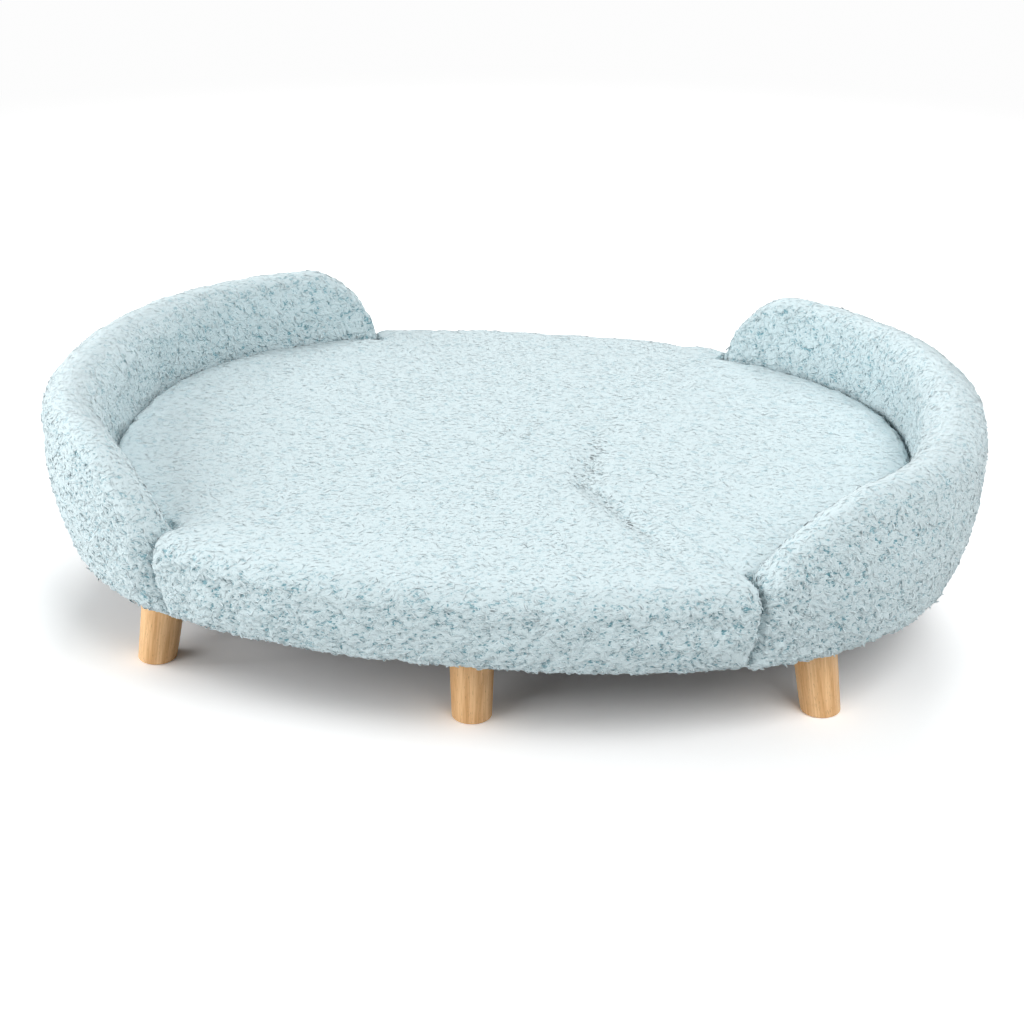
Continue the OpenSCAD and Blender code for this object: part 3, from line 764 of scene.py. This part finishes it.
# %% Grow the pile
for seed, piece in enumerate(soft_pieces, start=21):
    piece.data.materials.append(fleece)
    run_group(piece, pile_group, {
        "Tufts": TUFT_HEIGHT, "Spacing": LOCK_SPACING, "Length": LOCK_LENGTH,
        "Radius": LOCK_RADIUS, "Lumps": LUMP_HEIGHT, "Pressed": PRESSED, "Seed": seed, "Material": fleece})
    print(piece.name, "faces", len(piece.data.polygons))

# %% [markdown]
# ## Wood
# The legs are turned from beech with a clear satin lacquer. Growth rings run along the leg, a few
# millimetres apart and slightly askew, so they show as long bands and arches. Each leg gets the
# same recipe in its own frame, with the rings' centre in another place, as no two blanks are alike.

# %% Wood material
WOOD_LIGHT = "#FACE98"
WOOD_DARK = "#D29A5C"
WOOD_PORE = "#9A6C40"
# What each pattern's coordinates are multiplied by: the less, the longer it runs along the grain
RING_STRETCH = (1, 1, 0.16)
FIBRE_STRETCH = (1, 1, 0.035)
PORE_STRETCH = (1, 1, 0.12)
# Per metre: fibres lie about 1.4 mm apart and pores 0.7 mm, coarser than in beech, to be seen
FIBRE_SCALE = 700
PORE_SCALE = 1500
SWAY_SCALE = 22
SWAY = (12 * MM, 12 * MM, 12 * MM)
RING_SHARE = 0.4
GRAIN_DEPTH = 0.2 * MM


def wood_material(name, light, dark, origin, tilt, heart, ring_scale, roughness):
    """Wood whose grain runs along the local Z of a frame with that origin and tilt."""
    material, tree, shader = new_material(name)
    place = add(tree, "ShaderNodeTexCoord").outputs["Object"]
    local = add(tree, "ShaderNodeMapping", {"vector_type": "TEXTURE"}, {
        "Vector": place, "Location": origin, "Rotation": tilt})
    shifted = add(tree, "ShaderNodeVectorMath", {"operation": "ADD"}, {0: local, 1: heart})
    stretched = add(tree, "ShaderNodeVectorMath", {"operation": "MULTIPLY"}, {0: shifted, 1: RING_STRETCH})
    sway = add(tree, "ShaderNodeTexNoise", None, {"Vector": stretched, "Scale": SWAY_SCALE, "Detail": 2})
    swayed = add(tree, "ShaderNodeVectorMath", {"operation": "MULTIPLY_ADD"}, {
        0: sway.outputs["Color"], 1: SWAY, 2: stretched})
    rings = add(tree, "ShaderNodeTexWave", {"wave_type": "RINGS", "rings_direction": "Z"}, {
        "Vector": swayed, "Scale": ring_scale, "Distortion": 1.2, "Detail": 2, "Detail Scale": 3})
    fine = add(tree, "ShaderNodeVectorMath", {"operation": "MULTIPLY"}, {0: local, 1: FIBRE_STRETCH})
    fibre = add(tree, "ShaderNodeTexNoise", None, {"Vector": fine, "Scale": FIBRE_SCALE, "Detail": 3})
    streak = add(tree, "ShaderNodeMapRange", None, {
        "Value": fibre, "From Min": 0.35, "From Max": 0.65, "To Max": 0.5})
    blend = add(tree, "ShaderNodeMath", {"operation": "MULTIPLY_ADD"}, {
        0: rings.outputs["Fac"], 1: RING_SHARE, 2: streak})
    base = add(tree, "ShaderNodeMix", {"data_type": "RGBA"}, {
        0: blend, 6: hex_colour(light), 7: hex_colour(dark)})
    flecks = add(tree, "ShaderNodeVectorMath", {"operation": "MULTIPLY"}, {0: local, 1: PORE_STRETCH})
    flecks = add(tree, "ShaderNodeTexNoise", None, {"Vector": flecks, "Scale": PORE_SCALE, "Detail": 1})
    flecks = add(tree, "ShaderNodeMapRange", None, {
        "Value": flecks, "From Min": 0.66, "From Max": 0.72, "To Max": 0.55})
    colour = add(tree, "ShaderNodeMix", {"data_type": "RGBA"}, {
        0: flecks, 6: base.outputs[2], 7: hex_colour(WOOD_PORE)})
    grain = add(tree, "ShaderNodeBump", None, {
        "Height": fibre, "Strength": 0.12, "Distance": GRAIN_DEPTH})
    tree.links.new(colour.outputs[2], shader.inputs["Base Color"])
    tree.links.new(grain.outputs[0], shader.inputs["Normal"])
    shader.inputs["Roughness"].default_value = roughness
    return material


LEG_LEAN = math.radians(8.5)
LEG_HEADING = math.radians(16)
LEG_RINGS = 26
LEG_ROUGHNESS = 0.42
# Each blank is turned on from the one before, and the heart of its rings lies elsewhere: away from
# the leg's axis, to one side, and further along the grain
NEXT_TURN = 1.7
HEART_AWAY = 34 * MM
NEXT_AWAY = 6 * MM
NEXT_ASIDE = 12 * MM
NEXT_ALONG = 0.3
leg_places = {
    (row, place): (side_x, side_y)
    for row, side_y in (("front", -1), ("back", 1))
    for place, side_x in (("left", -1), ("middle", 0), ("right", 1))}
for number, ((row, place), (side_x, side_y)) in enumerate(leg_places.items()):
    name = f"leg_{row}_{place}"
    low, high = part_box(name)
    middle = [(low[k] + high[k]) / 2 for k in range(3)]
    heading = math.atan2(side_y * math.sin(LEG_HEADING), side_x * math.cos(LEG_HEADING))
    lean = LEG_LEAN if side_x else 0
    tilt = (Matrix.Rotation(heading, 3, "Z") @ Matrix.Rotation(-lean, 3, "Y")
            @ Matrix.Rotation(number * NEXT_TURN, 3, "Z")).to_euler()
    heart = (HEART_AWAY + NEXT_AWAY * (number % 3), NEXT_ASIDE * (number % 2), NEXT_ALONG * number)
    # Turned beech, sanded and sprayed with a clear satin lacquer
    beech = wood_material(
        f"beech_{row}_{place}", WOOD_LIGHT, WOOD_DARK, middle, tilt, heart, LEG_RINGS, LEG_ROUGHNESS)
    lacquer = beech.node_tree.nodes["Principled BSDF"].inputs
    lacquer["Coat Weight"].default_value = 0.25
    lacquer["Coat Roughness"].default_value = 0.3
    finish_with([name], beech)

# %% [markdown]
# ## What is hidden
# Whoever turns the bed over, or opens it, sees the rest: rotary-cut plywood, sawn glue blocks, a
# black non-woven dust cover and zinc-plated steel. They get the same care in plainer recipes.

# %% Plywood, dust cover and steel
# Per metre: the roller's dots are 1.8 mm apart, the threads 0.7 mm, the zinc's clouds 8 mm
EMBOSS_SCALE = 550
THREAD_SCALE = 1400
CLOUD_SCALE = 120
EMBOSS_DEPTH = 0.2 * MM
THREAD_SHARE = 0.3
PLY_RINGS = 7
PLY_ROUGHNESS = 0.7
PINE_RINGS = 18
PINE_ROUGHNESS = 0.75
# Birch plywood, rotary-cut veneers hot-pressed with resin, unfinished
ORIGIN = (0, 0, 0)
LYING = (0, math.pi / 2, 0)
PEEL_HEART = (0.9, 0.4, 0)
PINE_HEART = (0.5, 0.2, 0)
board_ply = wood_material(
    "birch_plywood", "#DCC39A", "#C9A878", ORIGIN, LYING, PEEL_HEART, PLY_RINGS, PLY_ROUGHNESS)
panel_ply = wood_material(
    "bent_plywood", "#D8BD92", "#C4A273", ORIGIN, ORIGIN, PEEL_HEART, PLY_RINGS, PLY_ROUGHNESS)
# Sawn pine, glued to the board and the panel
pine = wood_material(
    "sawn_pine", "#E3C797", "#CBA06A", ORIGIN, ORIGIN, PINE_HEART, PINE_RINGS, PINE_ROUGHNESS)
finish_with(["base_board"], board_ply)
finish_with(["side_panel_left", "side_panel_right"], panel_ply)
finish_with(["glue_blocks_left", "glue_blocks_right"], pine)

# Spun-bonded polypropylene, embossed by a heated roller in a grid of small dots
nonwoven, tree, shader = new_material("polypropylene_nonwoven")
place = add(tree, "ShaderNodeTexCoord").outputs["Object"]
dots = add(tree, "ShaderNodeTexVoronoi", {"voronoi_dimensions": "2D"}, {
    "Vector": place, "Scale": EMBOSS_SCALE, "Randomness": 0.15})
emboss = add(tree, "ShaderNodeMapRange", None, {
    "Value": dots.outputs["Distance"], "From Min": 0.15, "From Max": 0.35})
threads = add(tree, "ShaderNodeTexNoise", None, {"Vector": place, "Scale": THREAD_SCALE, "Detail": 3})
relief = add(tree, "ShaderNodeMath", {"operation": "MULTIPLY_ADD"}, {
    0: threads, 1: THREAD_SHARE, 2: emboss})
bump = add(tree, "ShaderNodeBump", None, {
    "Height": relief, "Strength": 0.6, "Distance": EMBOSS_DEPTH})
tone = add(tree, "ShaderNodeMix", {"data_type": "RGBA"}, {
    0: relief, 6: hex_colour("#222426"), 7: hex_colour("#3A3C3F")})
tree.links.new(tone.outputs[2], shader.inputs["Base Color"])
tree.links.new(bump.outputs[0], shader.inputs["Normal"])
shader.inputs["Roughness"].default_value = 0.8
finish_with(["dust_cover"], nonwoven)

# Stamped and turned steel, zinc-plated and clear-passivated
zinc, tree, shader = new_material("zinc_plated_steel")
place = add(tree, "ShaderNodeTexCoord").outputs["Object"]
cloud = add(tree, "ShaderNodeTexNoise", None, {"Vector": place, "Scale": CLOUD_SCALE, "Detail": 3})
dull = add(tree, "ShaderNodeMapRange", None, {"Value": cloud, "To Min": 0.26, "To Max": 0.44})
plating = add(tree, "ShaderNodeMix", {"data_type": "RGBA"}, {
    0: cloud, 6: hex_colour("#B9BDC0"), 7: hex_colour("#CDD0D0")})
tree.links.new(dull.outputs[0], shader.inputs["Roughness"])
tree.links.new(plating.outputs[2], shader.inputs["Base Color"])
shader.inputs["Metallic"].default_value = 1
steel_nodes = [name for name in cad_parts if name.startswith("plate_") or name in (
    "hanger_bolts", "panel_screws")]
finish_with(steel_nodes, zinc)
print("steel nodes", len(steel_nodes))

# %% [markdown]
# ## Staples
# The dust cover is held by a row of flat-wire staples along its edge. Geometry Nodes walk round
# that edge at an even spacing and set one staple at each step, with its two legs in the board.

# %% Staples
STAPLE_SPACING = 42 * MM
STAPLE_CROWN = 10 * MM
STAPLE_LEG = 8 * MM
STAPLE_WIRE = (1.2 * MM, 0.6 * MM)
STAPLE_FROM_EDGE = 5 * MM
LINE_POINTS = 240

dust_low, dust_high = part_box("dust_cover")
dust_in = HALF_L - dust_high[0] + STAPLE_FROM_EDGE
line_points = [
    (r * math.cos(a), r * math.sin(a), dust_low[2] - STAPLE_WIRE[1] / 2)
    for a in np.linspace(0, TURN, LINE_POINTS, endpoint=False)
    for r in [float(outer_r(a)) - dust_in]]
line = bpy.data.meshes.new("staples")
line.from_pydata(line_points, [(i, (i + 1) % len(line_points)) for i in range(len(line_points))], [])
staples = bpy.data.objects.new("staples", line)
bpy.context.scene.collection.objects.link(staples)

row_group, given = new_group("staple_row", {
    "Spacing": "Float", "Crown": "Float", "Leg": "Float", "Wire": "Vector", "Material": "Material"})
walk = add(row_group, "GeometryNodeMeshToCurve", None, {"Mesh": given["Geometry"]})
walk = add(row_group, "GeometryNodeCurveToPoints", {"mode": "LENGTH"}, {
    "Curve": walk, "Length": given["Spacing"]})
wire = add(row_group, "ShaderNodeSeparateXYZ", None, {0: given["Wire"]})
bar = add(row_group, "ShaderNodeCombineXYZ", None, {
    "X": given["Crown"], "Y": wire.outputs["X"], "Z": wire.outputs["Y"]})
parts = [add(row_group, "GeometryNodeMeshCube", None, {"Size": bar})]
pin = add(row_group, "ShaderNodeCombineXYZ", None, {
    "X": wire.outputs["Y"], "Y": wire.outputs["X"], "Z": given["Leg"]})
for way in (-0.5, 0.5):
    cube = add(row_group, "GeometryNodeMeshCube", None, {"Size": pin})
    aside = add(row_group, "ShaderNodeMath", {"operation": "SUBTRACT"}, {
        0: given["Crown"], 1: wire.outputs["Y"]})
    aside = add(row_group, "ShaderNodeMath", {"operation": "MULTIPLY"}, {0: aside, 1: way})
    raised = add(row_group, "ShaderNodeMath", {"operation": "MULTIPLY"}, {0: given["Leg"], 1: 0.5})
    shift = add(row_group, "ShaderNodeCombineXYZ", None, {"X": aside, "Z": raised})
    parts.append(add(row_group, "GeometryNodeTransform", None, {"Geometry": cube, "Translation": shift}))
staple = add(row_group, "GeometryNodeJoinGeometry")
for part in parts:
    row_group.links.new(part.outputs[0], staple.inputs[0])
level_way = add(row_group, "FunctionNodeAlignRotationToVector", {"axis": "X"}, {
    "Vector": walk.outputs["Tangent"]})
row = add(row_group, "GeometryNodeInstanceOnPoints", None, {
    "Points": walk, "Instance": staple, "Rotation": level_way})
row = add(row_group, "GeometryNodeRealizeInstances", None, {"Geometry": row})
row = add(row_group, "GeometryNodeSetMaterial", None, {"Geometry": row, "Material": given["Material"]})
add(row_group, "NodeGroupOutput", None, {0: row})
run_group(staples, row_group, {
    "Spacing": STAPLE_SPACING, "Crown": STAPLE_CROWN, "Leg": STAPLE_LEG,
    "Wire": (*STAPLE_WIRE, 0), "Material": zinc})
print("staple faces", len(staples.data.polygons))

# %% [markdown]
# ## What rides, and what stands for what
# The three cushions stand for the covers and foams of the frame, which keep the collision and the
# mass. Nothing on this bed moves, so every piece rides on the one body.

# %% Pieces to bodies
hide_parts("seat_cover", "seat_foam")
for side, piece in bolsters.items():
    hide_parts(f"bolster_cover_{side}", f"bolster_foam_{side}")
for piece in soft_pieces:
    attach(piece, "root")
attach(staples, "root")

# %% [markdown]
# ## Floor and light
# A studio sweep: the floor and the world are white to the camera, and to the bed the world is only
# a weak fill. Away from the bed the floor fades into that white, so that no horizon shows. Five
# large softboxes stand in a ring four metres off. Three are low, at both ends and at the front
# left, and light the walls from the side. Two are high, behind and at the front right, and light
# the seat. Little light comes straight from the front, which keeps the face in soft shade.

# %% Floor, lights and world
FLOOR_HALF = 6
# The floor's tone to the camera, above 1 so that its lit part is white, and to all other rays
FLOOR_WHITE = 1.28
FLOOR_GREY = 0.8
FADE_START = 1.2
FADE_END = 2.2
BACKDROP_WHITE = 0.98
SKY_LIGHT = 0.08
SOFTBOX_AWAY = 4.2
SOFTBOX_SIZE = 2.6
# Direction round the bed and height above the floor in degrees, and power in watts
SOFTBOXES = {
    "left_softbox": (180, 18, 100),
    "front_left_softbox": (225, 18, 74),
    "front_right_softbox": (315, 48, 100),
    "back_softbox": (90, 48, 95),
    "right_softbox": (0, 18, 24)}

mesh = bpy.data.meshes.new("floor")
mesh.from_pydata([(x * FLOOR_HALF, y * FLOOR_HALF, 0) for x, y in ((-1, -1), (1, -1), (1, 1), (-1, 1))],
                 [], [(0, 1, 2, 3)])
floor = bpy.data.objects.new("floor", mesh)
bpy.context.scene.collection.objects.link(floor)

paper = bpy.data.materials.new("seamless_paper")
paper.use_nodes = True
tree = paper.node_tree
tree.nodes.clear()
seen = add(tree, "ShaderNodeLightPath").outputs["Is Camera Ray"]
paper_tone = add(tree, "ShaderNodeMapRange", None, {
    "Value": seen, "To Min": FLOOR_GREY, "To Max": FLOOR_WHITE})
sheet = add(tree, "ShaderNodeBsdfDiffuse", None, {"Color": paper_tone})
place = add(tree, "ShaderNodeTexCoord").outputs["Object"]
away = add(tree, "ShaderNodeVectorMath", {"operation": "LENGTH"}, {0: place}).outputs["Value"]
fade = add(tree, "ShaderNodeMapRange", {"interpolation_type": "SMOOTHSTEP"}, {
    "Value": away, "From Min": FADE_START, "From Max": FADE_END})
fade = add(tree, "ShaderNodeMath", {"operation": "MULTIPLY"}, {0: fade, 1: seen})
glow = add(tree, "ShaderNodeEmission", None, {"Strength": BACKDROP_WHITE})
blend = add(tree, "ShaderNodeMixShader", None, {0: fade, 1: sheet, 2: glow})
add(tree, "ShaderNodeOutputMaterial", None, {"Surface": blend})
mesh.materials.append(paper)

world = bpy.data.worlds.new("studio")
bpy.context.scene.world = world
world.use_nodes = True
tree = world.node_tree
tree.nodes.clear()
rays = add(tree, "ShaderNodeLightPath").outputs
clear_ray = add(tree, "ShaderNodeMath", {"operation": "MAXIMUM"}, {
    0: rays["Is Camera Ray"], 1: rays["Is Glossy Ray"]})
clear_ray = add(tree, "ShaderNodeMath", {"operation": "MAXIMUM"}, {
    0: clear_ray, 1: rays["Is Transmission Ray"]})
strength = add(tree, "ShaderNodeMapRange", None, {
    "Value": clear_ray, "To Min": SKY_LIGHT, "To Max": BACKDROP_WHITE})
background = add(tree, "ShaderNodeBackground", None, {"Color": (1, 1, 1, 1), "Strength": strength})
add(tree, "ShaderNodeOutputWorld", None, {"Surface": background})


def softbox(name, turn, rise, watts):
    """A square area light in that direction from the bed's middle, which looks at the seat."""
    light = bpy.data.lights.new(name, "AREA")
    light.size = SOFTBOX_SIZE
    light.energy = watts
    lamp = bpy.data.objects.new(name, light)
    turn, rise = math.radians(turn), math.radians(rise)
    away = Vector((math.cos(rise) * math.cos(turn), math.cos(rise) * math.sin(turn), math.sin(rise)))
    aim = Vector((0, 0, seat_z)) - away * SOFTBOX_AWAY
    lamp.matrix_world = (Matrix.Translation(away * SOFTBOX_AWAY)
                         @ aim.to_track_quat("-Z", "Y").to_matrix().to_4x4())
    bpy.context.scene.collection.objects.link(lamp)


for name, (turn, rise, watts) in SOFTBOXES.items():
    softbox(name, turn, rise, watts)
bpy.context.scene.view_settings.view_transform = "Standard"
